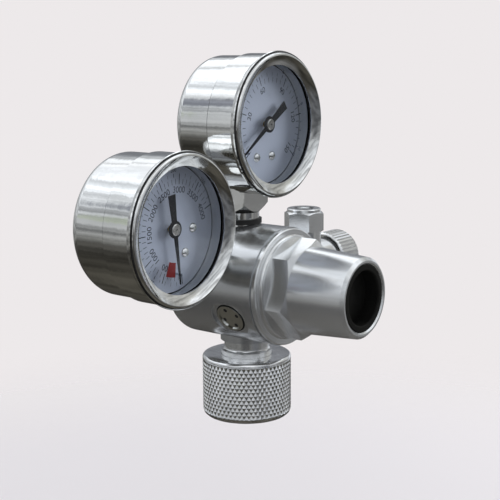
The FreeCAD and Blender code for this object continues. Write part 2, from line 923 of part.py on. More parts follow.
def stem_seal():
    """The sealing ring that is pinched between the neck and the body."""
    spot = rod_z(body_radius, body_radius + seal_height, seal_radius)
    inner = turned_z([
        (0, body_radius - 0.01),
        (port_thread_radius, body_radius - 0.01),
        (port_thread_radius, body_radius),
        (stem_neck_radius, body_radius + seal_height),
        (0, body_radius + seal_height),
    ])
    ring = spot.cut(inner)
    ring.translate(Vector(port_x, 0, 0))
    return ring


def bourdon_tube():
    """A flattened tube bent to a C, with its closed tip, in the gauge's own frame."""
    x_mid = port_x
    inner = tube_radius - tube_depth / 2
    half = tube_width / 2
    side = tube_depth / 4
    section = [
        Vector(x_mid - half + side, 0, inner),
        Vector(x_mid + half - side, 0, inner),
        Vector(x_mid + half, 0, inner + tube_depth / 2),
        Vector(x_mid + half - side, 0, inner + tube_depth),
        Vector(x_mid - half + side, 0, inner + tube_depth),
        Vector(x_mid - half, 0, inner + tube_depth / 2),
        Vector(x_mid - half + side, 0, inner),
    ]
    face = Part.Face(Part.makePolygon(section))
    face.rotate(ORIGIN, AXIS_X, tube_tip_angle - 90)
    return face.revolve(ORIGIN, AXIS_X, tube_root_angle - tube_tip_angle)


def plate_outline(x, thickness):
    box = Part.makeBox(thickness, 2 * plate_half_width, plate_top + plate_bottom,
                       Vector(x, -plate_half_width, -plate_bottom))
    edges = []
    for edge in box.Edges:
        first = edge.Vertexes[0].Point
        second = edge.Vertexes[1].Point
        if abs(first.x - second.x) > thickness / 2:
            edges.append(edge)
    return box.makeFillet(plate_corner_round, edges)


def movement_frame(screw_drop):
    """Two plates and two pillars that carry the arbor and the sector."""
    front_x = gauge_face_x + front_plate_dx
    rear_x = gauge_face_x + rear_plate_dx
    plates = [plate_outline(front_x, plate_thickness), plate_outline(rear_x, plate_thickness)]
    pillars = []
    for side in (-1, 1):
        y = side * (plate_half_width - pillar_radius - 0.3)
        z = plate_top - pillar_radius - 0.3
        pillars.append(rod_x(rear_x, front_x + plate_thickness, pillar_radius, y, z))
    stud_top = gauge_face_x + hairspring_dx + hairspring_height
    stud_y = hairspring_end + hairspring_stud_radius
    pillars.append(rod_x(rear_x, stud_top, hairspring_stud_radius, stud_y, 0))
    frame = plates[0].fuse([plates[1]] + pillars)
    hole = pivot_clearance + arbor_radius
    cuts = [rod_x(rear_x - 1, front_x + 2, hole), rod_x(rear_x - 1, front_x + 2, hole, 0, -gear_distance)]
    for side in (-0.5, 0.5):
        cuts.append(rod_x(front_x, front_x + plate_thickness, dial_screw_radius,
                          side * dial_screw_spacing, -screw_drop))
    return frame.cut(cuts).removeSplitter()


def toothed_edge(radius, teeth, first, last, start_angle):
    """Points of a run of plain straight-flanked teeth with backlash."""
    pitch = 2 * math.pi / teeth
    tip = radius + gear_module * 0.85
    root = radius - gear_module * 1.15
    points = []
    for k in range(first, last + 1):
        middle = math.radians(start_angle) + pitch * k
        base = pitch * 0.21
        crown = pitch * 0.09
        for reach, offset in ((root, -base), (tip, -crown), (tip, crown), (root, base)):
            angle = middle + offset
            points.append((reach * math.cos(angle), reach * math.sin(angle)))
    return points


def pinion_arbor():
    """The spindle with its pinion; a tooth gap faces the sector at rest."""
    x = gauge_face_x + gear_plane_dx
    rear_x = gauge_face_x + rear_plate_dx
    front = gauge_face_x + pointer_back_dx
    start = -90 + 180 / pinion_teeth
    edge = toothed_edge(pinion_pitch_radius, pinion_teeth, 0, pinion_teeth - 1, start)
    points = [Vector(x - sector_thickness - 0.2, y, z) for y, z in edge]
    gear = Part.Face(Part.makePolygon(points + [points[0]])).extrude(AXIS_X * (sector_thickness + 0.4))
    rod = rod_x(rear_x - 0.3, front, arbor_radius)
    return gear.fuse(rod)


def sector_gear():
    """The toothed sector at rest, its pivot pin and the tail for the link."""
    x = gauge_face_x + gear_plane_dx - sector_thickness
    rear_x = gauge_face_x + rear_plate_dx
    front_x = gauge_face_x + front_plate_dx
    pitch = 360 / sector_teeth_full
    rim = toothed_edge(sector_pitch_radius, sector_teeth_full, sector_first_tooth, sector_last_tooth, 90)
    for tooth, side in ((sector_last_tooth, 35), (sector_first_tooth, -35)):
        angle = math.radians(90 + pitch * tooth + side)
        rim.append((sector_hub_radius * math.cos(angle), sector_hub_radius * math.sin(angle)))
    points = [Vector(x, y, z) for y, z in rim]
    blade = Part.Face(Part.makePolygon(points + [points[0]])).extrude(AXIS_X * sector_thickness)
    boss = rod_x(x, x + sector_thickness, sector_hub_radius)
    pin = rod_x(rear_x - 0.3, front_x + plate_thickness - 0.2, arbor_radius)
    half_link = link_width / 2
    tail = Part.makeBox(sector_thickness, sector_tail, link_width, Vector(x, 0, -half_link))
    tail_end = rod_x(x, x + sector_thickness, half_link + 0.15, sector_tail, 0)
    tail_pin = rod_x(x - link_thickness - 0.3, x + sector_thickness, tip_pin_radius, sector_tail, 0)
    tail = tail.fuse([tail_end, tail_pin])
    tail.rotate(ORIGIN, AXIS_X, sector_tail_angle)
    gear = blade.fuse([boss, pin, tail])
    gear.translate(Vector(0, 0, -gear_distance))
    return gear


def tail_pin_place():
    angle = math.radians(sector_tail_angle)
    y = sector_tail * math.cos(angle)
    z = -gear_distance + sector_tail * math.sin(angle)
    return y, z


def tube_tip_place():
    angle = math.radians(tube_tip_angle + 4)
    reach = tube_radius - tube_depth / 2 - 0.9
    return reach * math.cos(angle), reach * math.sin(angle)


def tip_link():
    """The flat link from the sector's tail to the tube's tip."""
    x = gauge_face_x + link_back_dx
    y0, z0 = tail_pin_place()
    y1, z1 = tube_tip_place()
    length = math.hypot(y1 - y0, z1 - z0)
    angle = math.degrees(math.atan2(z1 - z0, y1 - y0))
    bar = Part.makeBox(link_thickness, length, link_width, Vector(x, 0, -link_width / 2))
    near = rod_x(x, x + link_thickness, link_width / 2 + 0.15)
    far = rod_x(x, x + link_thickness, link_width / 2 + 0.15, length, 0)
    link = bar.fuse([near, far])
    hole = tip_pin_radius + pivot_clearance
    link = link.cut([rod_x(x - 1, x + 1, hole), rod_x(x - 1, x + 1, hole, length, 0)])
    link.rotate(ORIGIN, AXIS_X, angle)
    link.translate(Vector(0, y0, z0))
    return link


def tube_tip():
    """The closed tip block with the pin for the link."""
    y, z = tube_tip_place()
    x_low = port_x - tube_width / 2
    pin = rod_x(x_low, gauge_face_x + link_back_dx + link_thickness + 0.3, tip_pin_radius, y, z)
    block = rod_x(x_low, port_x + tube_width / 2, 1.0, y, z)
    return block.fuse(pin)


def hairspring():
    """A flat spiral of half circles between the arbor and a stud."""
    x = gauge_face_x + hairspring_dx
    edges_out = []
    edges_in = []
    radius = hairspring_inner
    place = Vector(x, radius, 0)
    inner_place = Vector(x, radius - hairspring_wire, 0)
    sign = 1
    for k in range(2 * hairspring_turns):
        grown = radius + hairspring_step / 2
        middle_z = sign * (radius + hairspring_step / 4)
        end = Vector(x, -sign * grown, 0)
        inner_end = Vector(x, -sign * (grown - hairspring_wire), 0)
        shift = sign * hairspring_step / -4
        edges_out.append(Part.Arc(place, Vector(x, shift, middle_z), end).toShape())
        edges_in.append(Part.Arc(inner_place, Vector(x, shift, middle_z - sign * hairspring_wire),
                                 inner_end).toShape())
        place = end
        inner_place = inner_end
        radius = grown
        sign = -sign
    caps = [Part.makeLine(Vector(x, hairspring_inner, 0), Vector(x, hairspring_inner - hairspring_wire, 0)),
            Part.makeLine(place, inner_place)]
    wire = Part.Wire(Part.__sortEdges__(edges_out + edges_in + caps))
    return Part.Face(wire).extrude(AXIS_X * hairspring_height)


def gauge_pointer():
    """The pointer on its hub, pointing at zero, with its bright cap."""
    x = gauge_face_x + pointer_back_dx
    outline = [(-pointer_tail, -1.25), (-pointer_hub_radius, -0.85), (pointer_hub_radius, -0.6),
               (pointer_tip, -0.12), (pointer_tip, 0.12), (pointer_hub_radius, 0.6),
               (-pointer_hub_radius, 0.85), (-pointer_tail, 1.25)]
    points = [Vector(x, y, z) for y, z in outline]
    blade = Part.Face(Part.makePolygon(points + [points[0]])).extrude(AXIS_X * pointer_thickness)
    hub = rod_x(x, x + pointer_thickness, pointer_hub_radius)
    top = x + pointer_thickness
    cap = turned_x([
        (top, 0),
        (top, pointer_cap_radius),
        (top + pointer_cap_height - 0.15, pointer_cap_radius),
        (top + pointer_cap_height, pointer_cap_radius - 0.15),
        (top + pointer_cap_height, 0),
    ])
    pointer = blade.fuse([hub, cap])
    pointer.rotate(ORIGIN, AXIS_X, pointer_zero_angle)
    return pointer


# Needle valve

def on_port_line(shape):
    placed = shape.copy()
    placed.translate(Vector(port_x, 0, 0))
    return lifted(placed)


def outlet_place(shape):
    placed = shape.copy()
    placed.translate(Vector(port_x, valve_outlet_y, 0))
    return lifted(placed)


def valve_body():
    barrel = turned_y([
        (0, port_floor_height),
        (port_thread_radius - 0.4, port_floor_height),
        (port_thread_radius, port_floor_height + 0.4),
        (port_thread_radius, body_radius),
        (stem_neck_radius, valve_shoulder_y),
        (valve_radius - 0.4, valve_shoulder_y),
        (valve_radius, valve_shoulder_y + 0.4),
        (valve_radius, valve_end_y - 0.4),
        (valve_radius - 0.4, valve_end_y),
        (0, valve_end_y),
    ])
    thread_top = outlet_nut_low + outlet_thread_length
    barb_top = outlet_nut_high - hose_barb_drop
    riser = rod_z(0, outlet_nut_low, outlet_neck_radius, 0, valve_outlet_y)
    thread = rod_z(0, thread_top, outlet_thread_radius, 0, valve_outlet_y)
    barb = turned_z([
        (0, thread_top),
        (hose_barb_radius, thread_top),
        (hose_barb_radius, barb_top - hose_barb_slope),
        (hose_barb_radius - hose_barb_slope / 2, barb_top),
        (0, barb_top),
    ])
    barb.translate(Vector(0, valve_outlet_y, 0))
    gland_low = valve_end_y - gland_length
    cuts = [
        rod_y(port_floor_height, valve_seat_y, valve_seat_radius),
        rod_y(valve_seat_y, stem_seal_y, valve_bore_radius),
        rod_y(stem_seal_y, gland_low, stem_radius + 1.2),
        rod_y(gland_low, valve_end_y, gland_radius),
        rod_z(0, barb_top, hose_barb_bore, 0, valve_outlet_y),
    ]
    return on_port_line(barrel.fuse([riser, thread, barb]).cut(cuts).removeSplitter())


def valve_seal():
    ring = stem_seal()
    ring.rotate(ORIGIN, AXIS_X, -90)
    return lifted(ring)


def needle():
    """The sliding needle, closed on its seat, with its threaded socket."""
    back = valve_seat_y + needle_tip_length + needle_length
    return on_port_line(turned_y([
        (0, valve_seat_y - 0.3),
        (valve_seat_radius * 0.5, valve_seat_y - 0.3),
        (valve_seat_radius * 0.93, valve_seat_y),
        (valve_bore_radius - 0.9, valve_seat_y + needle_tip_length),
        (valve_bore_radius - running_gap, valve_seat_y + needle_tip_length + 0.8),
        (valve_bore_radius - running_gap, back),
        (needle_socket_radius + running_gap, back),
        (needle_socket_radius + running_gap, back - needle_socket_depth),
        (0, back - needle_socket_depth),
    ]))


def valve_stem():
    """The turning stem; its thin end screws into the needle."""
    needle_back = valve_seat_y + needle_tip_length + needle_length
    start = needle_back - 1.0
    collar = needle_back + needle_room
    end = knob_start_y + knob_length - 1.6
    stem = turned_y([
        (0, start),
        (needle_socket_radius, start),
        (needle_socket_radius, collar),
        (stem_collar_radius, collar),
        (stem_collar_radius, stem_seal_y - running_gap),
        (stem_radius, stem_seal_y - running_gap),
        (stem_radius, end),
        (0, end),
    ])
    tapped = rod_y(end - knob_screw_length, end, knob_screw_radius)
    return on_port_line(stem.cut(tapped))


def stem_o_ring():
    return on_port_line(turned_y([
        (stem_radius + running_gap, stem_seal_y),
        (stem_radius + 1.2, stem_seal_y),
        (stem_radius + 1.2, valve_end_y - gland_length),
        (stem_radius + running_gap, valve_end_y - gland_length),
    ]))


def gland_nut():
    start = valve_end_y - gland_length
    return on_port_line(turned_y([
        (stem_radius + running_gap, start),
        (gland_radius, start),
        (gland_radius, valve_end_y + 0.6),
        (stem_radius + running_gap, valve_end_y + 0.6),
    ]))


def valve_knob():
    end = knob_start_y + knob_length
    chamfer = knob_edge_chamfer
    floor = knob_start_y + knob_recess_depth
    blank = turned_y([
        (stem_radius, floor),
        (knob_recess_radius, floor),
        (knob_recess_radius, knob_start_y),
        (knob_radius - chamfer, knob_start_y),
        (knob_radius, knob_start_y + chamfer),
        (knob_radius, end - chamfer),
        (knob_radius - chamfer, end),
        (knob_screw_head_radius + 0.3, end),
        (knob_screw_head_radius + 0.3, end - 1.6),
        (stem_radius, end - 1.6),
    ])
    points = []
    inner = knob_radius - knob_flute_depth
    for k in range(knob_flutes):
        for reach, share in ((inner, 0.0), (knob_radius + 0.1, 0.3), (knob_radius + 0.1, 0.7)):
            angle = 2 * math.pi * (k + share) / knob_flutes
            points.append(Vector(reach * math.cos(angle), knob_start_y - 1, reach * math.sin(angle)))
    fluted = Part.Face(Part.makePolygon(points + [points[0]])).extrude(AXIS_Y * (knob_length + 2))
    return on_port_line(blank.common(fluted))


def knob_screw():
    seat = knob_start_y + knob_length - 1.6
    shank = rod_y(seat - knob_screw_length + 1, seat, knob_screw_radius)
    head = rod_y(seat, seat + knob_screw_head_height, knob_screw_head_radius)
    slot = Part.makeBox(2 * knob_screw_head_radius + 1, 0.7, 0.7)
    slot.translate(Vector(-knob_screw_head_radius - 0.5, seat + knob_screw_head_height - 0.7, -0.35))
    return on_port_line(shank.fuse(head.cut(slot)))


def outlet_nut():
    length = outlet_nut_high - outlet_ring_height - outlet_nut_low
    bar = hexagon(outlet_nut_width, length, AXIS_Z, outlet_nut_turn)
    bar.translate(Vector(0, 0, outlet_nut_low))
    corner = outlet_nut_width / 2 / math.cos(math.pi / 6)
    flat = outlet_nut_width / 2
    rise = (corner - outlet_ring_radius) * math.tan(math.radians(30))
    high = outlet_nut_high - outlet_ring_height
    envelope = turned_z([
        (0, outlet_nut_low),
        (flat + 0.3, outlet_nut_low),
        (corner, outlet_nut_low + 0.4),
        (corner, high - rise),
        (outlet_ring_radius, high),
        (0, high),
    ])
    ring = turned_z([
        (0, high),
        (outlet_ring_radius, high),
        (outlet_ring_radius, outlet_nut_high - 0.25),
        (outlet_ring_radius - 0.25, outlet_nut_high),
        (0, outlet_nut_high),
    ])
    thread_top = outlet_nut_low + outlet_thread_length + clamp_ring_height
    cuts = [rod_z(outlet_nut_low, thread_top, outlet_thread_radius + running_gap),
            rod_z(outlet_nut_low, outlet_nut_high, outlet_nut_hole_radius)]
    return outlet_place(bar.common(envelope).fuse(ring).cut(cuts).removeSplitter())


def clamp_ring():
    """The olive that grips the hose under the outlet nut."""
    low = outlet_nut_low + outlet_thread_length
    return outlet_place(turned_z([
        (outlet_nut_hole_radius, low),
        (outlet_thread_radius, low),
        (outlet_thread_radius, low + clamp_ring_height),
        (outlet_nut_hole_radius, low + clamp_ring_height),
    ]))


def gauge_nodes(prefix, lean, screw_drop):
    save(gauge_place(gauge_case(), lean), prefix + "_gauge_case")
    save(gauge_place(gauge_bezel(), lean), prefix + "_gauge_bezel")
    save(gauge_place(gauge_gasket(), lean), prefix + "_gauge_gasket")
    save(gauge_place(gauge_lens(), lean), prefix + "_gauge_lens")
    save(gauge_place(gauge_dial(screw_drop), lean), prefix + "_gauge_dial")
    save(gauge_place(dial_screws(screw_drop), lean), prefix + "_dial_screws")
    save(gauge_place(gauge_pointer(), lean), prefix + "_gauge_pointer")
    save(gauge_place(pinion_arbor(), lean), prefix + "_pinion_arbor")
    save(gauge_place(sector_gear(), lean), prefix + "_sector_gear")
    save(gauge_place(movement_frame(screw_drop), lean), prefix + "_movement_frame")
    save(gauge_place(bourdon_tube().fuse(tube_tip()), lean), prefix + "_bourdon_tube")
    save(gauge_place(tip_link(), lean), prefix + "_tip_link")
    save(gauge_place(hairspring(), lean), prefix + "_hairspring")
    save(stem_place(gauge_stem(), lean), prefix + "_gauge_stem")
    save(stem_place(stem_seal(), lean), prefix + "_stem_seal")


def main():
    os.makedirs("parts", exist_ok=True)
    save(knurled_nut(), "knurled_nut")
    save(inlet_nipple(), "inlet_nipple")
    save(inlet_filter(), "inlet_filter")
    save(inlet_washer(), "inlet_washer")
    save(regulator_body(), "regulator_body")
    save(bonnet(), "bonnet")
    save(bonnet_cap(), "bonnet_cap")
    save(adjusting_screw(), "adjusting_screw")
    save(spring_button(), "spring_button")
    save(main_spring(), "main_spring")
    save(back_plate(), "back_plate")
    save(diaphragm(), "diaphragm")
    save(slip_ring(), "slip_ring")
    save(pusher(), "pusher")
    save(seat_nozzle(), "seat_nozzle")
    save(poppet(), "poppet")
    save(poppet_spring(), "poppet_spring")
    save(relief_plug(), "relief_plug")
    save(relief_disc(), "relief_disc")
    save(relief_spring(), "relief_spring")
    gauge_nodes("low", 0.0, low_dial_screw_drop)
    gauge_nodes("high", high_gauge_angle, high_dial_screw_drop)
    save(valve_body(), "valve_body")
    save(valve_seal(), "valve_seal")
    save(needle(), "needle")
    save(valve_stem(), "valve_stem")
    save(stem_o_ring(), "stem_o_ring")
    save(gland_nut(), "gland_nut")
    save(valve_knob(), "valve_knob")
    save(knob_screw(), "knob_screw")
    save(outlet_nut(), "outlet_nut")
    save(clamp_ring(), "clamp_ring")


main()
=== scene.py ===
"""Finishes, dial marks, knurl, thread and studio for the aquarium carbon dioxide regulator."""
import json
import math

import bmesh
import bpy
from mathutils import Matrix, Vector


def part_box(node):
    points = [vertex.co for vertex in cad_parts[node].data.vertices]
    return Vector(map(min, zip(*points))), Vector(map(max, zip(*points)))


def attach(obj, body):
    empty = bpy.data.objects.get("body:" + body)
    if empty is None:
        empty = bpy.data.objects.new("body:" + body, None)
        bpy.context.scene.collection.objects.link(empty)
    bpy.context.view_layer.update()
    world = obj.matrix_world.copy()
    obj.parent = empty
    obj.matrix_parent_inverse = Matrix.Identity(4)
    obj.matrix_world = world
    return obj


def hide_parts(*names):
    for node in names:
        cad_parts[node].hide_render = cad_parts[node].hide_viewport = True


MM = 0.001
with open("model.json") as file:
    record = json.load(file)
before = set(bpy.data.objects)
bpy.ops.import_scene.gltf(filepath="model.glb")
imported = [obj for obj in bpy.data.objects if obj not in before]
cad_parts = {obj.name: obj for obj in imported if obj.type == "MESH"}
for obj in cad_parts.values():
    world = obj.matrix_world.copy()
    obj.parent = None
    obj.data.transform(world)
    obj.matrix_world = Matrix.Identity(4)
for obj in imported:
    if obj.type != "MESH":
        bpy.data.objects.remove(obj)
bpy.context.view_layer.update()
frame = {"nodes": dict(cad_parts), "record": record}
nodes = frame["nodes"]


def centre_of(node):
    low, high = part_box(node)
    return (low + high) / 2


# Places taken from the frame
axis_height = centre_of("bonnet").z
dial_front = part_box("low_gauge_dial")[1].x
gauge_centres = {
    "low": centre_of("low_gauge_bezel"),
    "high": centre_of("high_gauge_bezel"),
}

# The photograph's camera, fitted to the object: degrees, metres, and millimetres for the lens
camera_azimuth = 37.86
camera_elevation = 10.58
camera_roll = -0.41
camera_distance = 0.32369
camera_right = 0.001144
camera_up = 0.008829
camera_lens = 79.26
background_colour = (0.847, 0.815, 0.823)

# Cylinder nut, millimetres; an inset is counted inwards from the knurl's points
nut_radius = 13.2
nut_height = 18.0
nut_foot_inset = 0.9
nut_bevel_inset = 0.35
nut_bevel_height = 0.5
nut_rim_inset = 0.1
nut_rim_gap = 0.1
nut_band_inset = 0.15
nut_band_low = 0.05
nut_band_high = 0.15
nut_groove_inset = 0.45
nut_groove_low = 0.2
nut_groove_high = 0.38
nut_top_inset = 0.05
nut_top_round = 0.9
nut_neck_radius = 7.65
nut_thread_radius = 10.9
nut_thread_length = 10.5
nut_thread_relief = 0.3
nut_mouth_chamfer = 0.35
nut_shoulder = 15.3

# Diamond knurl, millimetres
knurl_low = 1.4
knurl_high = 16.5
knurl_count = 58
knurl_rows = 6.5
knurl_depth = 0.42

# Thread in the nut, millimetres; the half widths are shares of the pitch
thread_pitch = 1.81
thread_depth = 0.55
thread_start = 1.0
thread_ends = 1.6
thread_fade_turns = 3
thread_root_sink = 0.02
thread_root_half = 0.42
thread_crest_half = 0.08

# Relief plug, millimetres and degrees
relief_x = 5.7
relief_angle = 208.0
relief_face = 16.35
relief_hole_count = 4
relief_hole_circle = 2.7
relief_hole_turn = 23.0
# Radius of each disc of painted shade over a hole, wider than the hole itself
relief_hole_shade_radius = 0.6
relief_plug_radius = 4.35
relief_pocket_radius = 4.75
relief_gap_depth = 0.3
# Lift, inner eye and clearance of the painted shade on the relief plug
relief_shade_lift = 0.02
relief_shade_eye = 0.02
relief_shade_clearance = 0.01

# Dial marks, millimetres and degrees; angles are counted from +Y towards +Z
high_scale = {
    "zero": -83.3, "step": 32.0, "count": 8, "minor": 5, "label": 500,
    "second": 280, "second_step": 50,
}
low_scale = {
    "zero": -144.0, "step": 51.6, "count": 5, "minor": 6, "label": 30,
    "second": 10.5, "second_step": 2,
}
label_radius = 10.3
label_height = 1.7
tick_inner = 11.8
tick_minor_outer = 13.2
tick_major_outer = 14.4
tick_minor_half = 0.075
tick_major_half = 0.13
tick_lift = 0.02
second_inner = 13.6
second_outer = 14.6
second_radius = 15.5
second_height = 1.1
second_minor = 5
second_minor_half = 0.06
second_major_half = 0.10
number_lift = 0.03
font_size_per_height = 1.38
patch_inner = 8.5
patch_outer = 12.35
patch_start = -112.0
patch_sweep = 17.0
patch_steps = 4
patch_lift = 0.035

# Black bands of painted shade in the gauges' seam and crimp gaps, and caps of the pointers' hubs,
# millimetres
seam_length = 0.45
seam_sink = 0.1
seam_rise = 0.06
crimp_from_front = 0.9
crimp_back = 0.06
crimp_fore = 0.32
crimp_inner_inset = 0.7
crimp_outer_inset = 0.4
cap_lift = 0.04
cap_thickness = 0.45
cap_radius = 1.62
cap_bevel_radius = 1.55
cap_flat_radius = 1.35
cap_bevel = 0.15
cap_edge = 0.35
cap_pit_radius = 0.24
cap_pit_floor_radius = 0.14
cap_pit_depth = 0.3

smooth_angle = 30


# Materials

def new_material(name, colour, metallic, roughness, **sockets):
    """A material with one Principled shader and its constant sockets."""
    material = bpy.data.materials.new(name)
    material.use_nodes = True
    tree = material.node_tree
    shader = tree.nodes["Principled BSDF"]
    shader.inputs["Base Color"].default_value = (*colour, 1.0)
    shader.inputs["Metallic"].default_value = metallic
    shader.inputs["Roughness"].default_value = roughness
    for socket, value in sockets.items():
        shader.inputs[socket.replace("_", " ")].default_value = value
    return material, tree, shader


def add_noise(tree, scale, detail=3.0, stretch=(1.0, 1.0, 1.0)):
    """A noise texture on the object's own metres, stretched along its axes."""
    place = tree.nodes.new("ShaderNodeTexCoord")
    mapping = tree.nodes.new("ShaderNodeMapping")
    mapping.inputs["Scale"].default_value = stretch
    noise = tree.nodes.new("ShaderNodeTexNoise")
    noise.inputs["Scale"].default_value = scale
    noise.inputs["Detail"].default_value = detail
    tree.links.new(place.outputs["Object"], mapping.inputs["Vector"])
    tree.links.new(mapping.outputs["Vector"], noise.inputs["Vector"])
    return noise.outputs["Fac"]


def spread(tree, value, low, high):
    """Maps the middle range of a noise to a range of values."""
    ranged = tree.nodes.new("ShaderNodeMapRange")
    ranged.inputs["From Min"].default_value = 0.3
    ranged.inputs["From Max"].default_value = 0.7
    ranged.inputs["To Min"].default_value = low
    ranged.inputs["To Max"].default_value = high
    tree.links.new(value, ranged.inputs["Value"])
    return ranged.outputs["Result"]


def tint(tree, shader, value, dark, light):
    """The base colour runs between two colours."""
    mix = tree.nodes.new("ShaderNodeMix")
    mix.data_type = "RGBA"
    mix.inputs["A"].default_value = (*dark, 1.0)
    mix.inputs["B"].default_value = (*light, 1.0)
    tree.links.new(spread(tree, value, 0.0, 1.0), mix.inputs["Factor"])
    tree.links.new(mix.outputs["Result"], shader.inputs["Base Color"])


def bump(tree, shader, value, distance, strength):
    """Relief of the surface; the distance is in metres."""
    node = tree.nodes.new("ShaderNodeBump")
    node.inputs["Distance"].default_value = distance
    node.inputs["Strength"].default_value = strength
    tree.links.new(value, node.inputs["Height"])
    tree.links.new(node.outputs["Normal"], shader.inputs["Normal"])


def mix_surface(tree, factor, first, second):
    """The material's surface runs from the first shader to the second."""
    mix = tree.nodes.new("ShaderNodeMixShader")
    tree.links.new(factor, mix.inputs["Fac"])
    tree.links.new(first, mix.inputs[1])
    tree.links.new(second, mix.inputs[2])
    tree.links.new(mix.outputs["Shader"], tree.nodes["Material Output"].inputs["Surface"])


def chrome():
    """Bright plating on gauges, with the faint waves of a pressed case."""
    material, tree, shader = new_material("bright_chrome", (0.80, 0.805, 0.80), 1.0, 0.06)
    tint(tree, shader, add_noise(tree, 60), (0.72, 0.73, 0.72), (0.83, 0.835, 0.83))
    tree.links.new(spread(tree, add_noise(tree, 260), 0.035, 0.09), shader.inputs["Roughness"])
    bump(tree, shader, add_noise(tree, 170, 4), 0.00007, 0.8)
    return material


def plated():
    """Satin plating on the nipple and the needle valve."""
    material, tree, shader = new_material("satin_plate", (0.80, 0.81, 0.815), 0.88, 0.12)
    tint(tree, shader, add_noise(tree, 90), (0.74, 0.75, 0.755), (0.86, 0.87, 0.875))
    tree.links.new(spread(tree, add_noise(tree, 400), 0.11, 0.20), shader.inputs["Roughness"])
    bump(tree, shader, add_noise(tree, 900, 2), 0.00001, 0.4)
    return material


def turned_aluminium(name, dark, light, roughness, metal):
    """Smooth turned metal: a faint cloudiness and very fine rings round the X axis."""
    material, tree, shader = new_material(name, light, metal, roughness)
    tint(tree, shader, add_noise(tree, 45), dark, light)
    rings = add_noise(tree, 1.0, 2, (1600.0, 4.0, 4.0))
    tree.links.new(spread(tree, rings, roughness - 0.02, roughness + 0.03), shader.inputs["Roughness"])
    bump(tree, shader, rings, 0.0000012, 0.3)
    return material


def knurled_steel():
    """Plating on the nut's knurl, a little uneven from point to point."""
    material, tree, shader = new_material("knurled_plate", (0.92, 0.925, 0.93), 0.97, 0.12)
    tint(tree, shader, add_noise(tree, 500), (0.80, 0.81, 0.82), (0.95, 0.955, 0.96))
    tree.links.new(spread(tree, add_noise(tree, 700), 0.09, 0.18), shader.inputs["Roughness"])
    return material


def plain_metal(name, dark, light, roughness):
    material, tree, shader = new_material(name, light, 1.0, roughness)
    tint(tree, shader, add_noise(tree, 300), dark, light)
    bump(tree, shader, add_noise(tree, 1500), 0.00001, 0.4)
    return material


def moulded(name, dark, light, roughness, grain, gloss=0.5):
    """Plastic, rubber or paint with a fine grain."""
    material, tree, shader = new_material(name, light, 0.0, roughness, Specular_IOR_Level=gloss)
    tint(tree, shader, add_noise(tree, 250), dark, light)
    bump(tree, shader, add_noise(tree, grain), 0.00002, 0.4)
    return material


def dial_paint():
    material, tree, shader = new_material("dial_paint", (0.47, 0.52, 0.63), 0.0, 0.38)
    tint(tree, shader, add_noise(tree, 40), (0.44, 0.49, 0.60), (0.50, 0.55, 0.66))
    bump(tree, shader, add_noise(tree, 2500), 0.000004, 0.3)
    return material


def clear_glass():
    """Clear glass that lets the lamps reach the dial behind it."""
    material, tree, shader = new_material("clear_glass", (0.97, 0.985, 1.0), 0.0, 0.015,
                                          Transmission_Weight=1.0, IOR=1.35)
    tree.links.new(spread(tree, add_noise(tree, 120), 0.01, 0.03), shader.inputs["Roughness"])
    path = tree.nodes.new("ShaderNodeLightPath")
    through = tree.nodes.new("ShaderNodeBsdfTransparent")
    mix_surface(tree, path.outputs["Is Shadow Ray"], shader.outputs["BSDF"], through.outputs["BSDF"])
    return material


materials = {
    "satin_body": turned_aluminium("turned_body", (0.60, 0.615, 0.63), (0.67, 0.685, 0.70), 0.22, 0.88),
    "satin_bonnet": turned_aluminium("turned_bonnet", (0.70, 0.715, 0.72), (0.80, 0.815, 0.82), 0.19, 0.82),
    "bright_plate": chrome(),
    "knurled_plate": knurled_steel(),
    "bare_steel": plain_metal("bare_steel", (0.52, 0.51, 0.48), (0.66, 0.65, 0.62), 0.24),
    "dark_steel": plain_metal("dark_steel", (0.60, 0.60, 0.59), (0.72, 0.72, 0.71), 0.30),
    "spring_steel": plain_metal("spring_steel", (0.40, 0.40, 0.42), (0.52, 0.52, 0.54), 0.30),
    "plain_brass": plain_metal("plain_brass", (0.62, 0.46, 0.20), (0.76, 0.60, 0.30), 0.28),
    "sintered_bronze": plain_metal("sintered_bronze", (0.40, 0.27, 0.13), (0.58, 0.42, 0.22), 0.55),
    "black_plastic": moulded("black_plastic", (0.009, 0.009, 0.008), (0.013, 0.013, 0.012), 0.5, 900, 0.05),
    "white_nylon": moulded("white_nylon", (0.78, 0.78, 0.74), (0.84, 0.84, 0.80), 0.45, 700),
    "black_rubber": moulded("black_rubber", (0.010, 0.010, 0.010), (0.020, 0.020, 0.020), 0.55, 1200),
    "clear_glass": clear_glass(),
    "dial_paint": dial_paint(),
    "pointer_paint": moulded("pointer_paint", (0.006, 0.007, 0.010), (0.012, 0.013, 0.017), 0.4, 900, 0.2),
}
ink = moulded("dial_ink", (0.004, 0.005, 0.010), (0.010, 0.012, 0.020), 0.5, 1500, 0.1)
red_ink = moulded("dial_red", (0.16, 0.008, 0.010), (0.23, 0.014, 0.015), 0.5, 1500, 0.1)
satin_plate = plated()


def paint(thing, material):
    thing.data.materials.clear()
    thing.data.materials.append(material)


for entry in frame["record"]["subparts"]:
    paint(nodes[entry["node"]], materials[entry["material_slot"]])
for name in ("relief_plug", "low_dial_screws", "high_dial_screws", "low_gauge_stem", "high_gauge_stem"):
    paint(nodes[name], materials["bright_plate"])
for name in ("inlet_nipple", "valve_body", "valve_knob", "outlet_nut"):
    paint(nodes[name], satin_plate)


# Mesh helpers

def piece(name, vertices, faces, body, slot):
    """A new piece that rides on a body and takes a material slot's finish."""
    mesh = bpy.data.meshes.new(name)
    mesh.from_pydata(vertices, [], faces)
    mesh.update()
    thing = bpy.data.objects.new(name, mesh)
    bpy.context.collection.objects.link(thing)
    paint(thing, materials[slot])
    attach(thing, body)
    return thing


def on_circle(radius, angle, height):
    """A point on a circle about Z, from millimetres to metres."""
    return Vector((radius * math.cos(angle), radius * math.sin(angle), height)) * MM


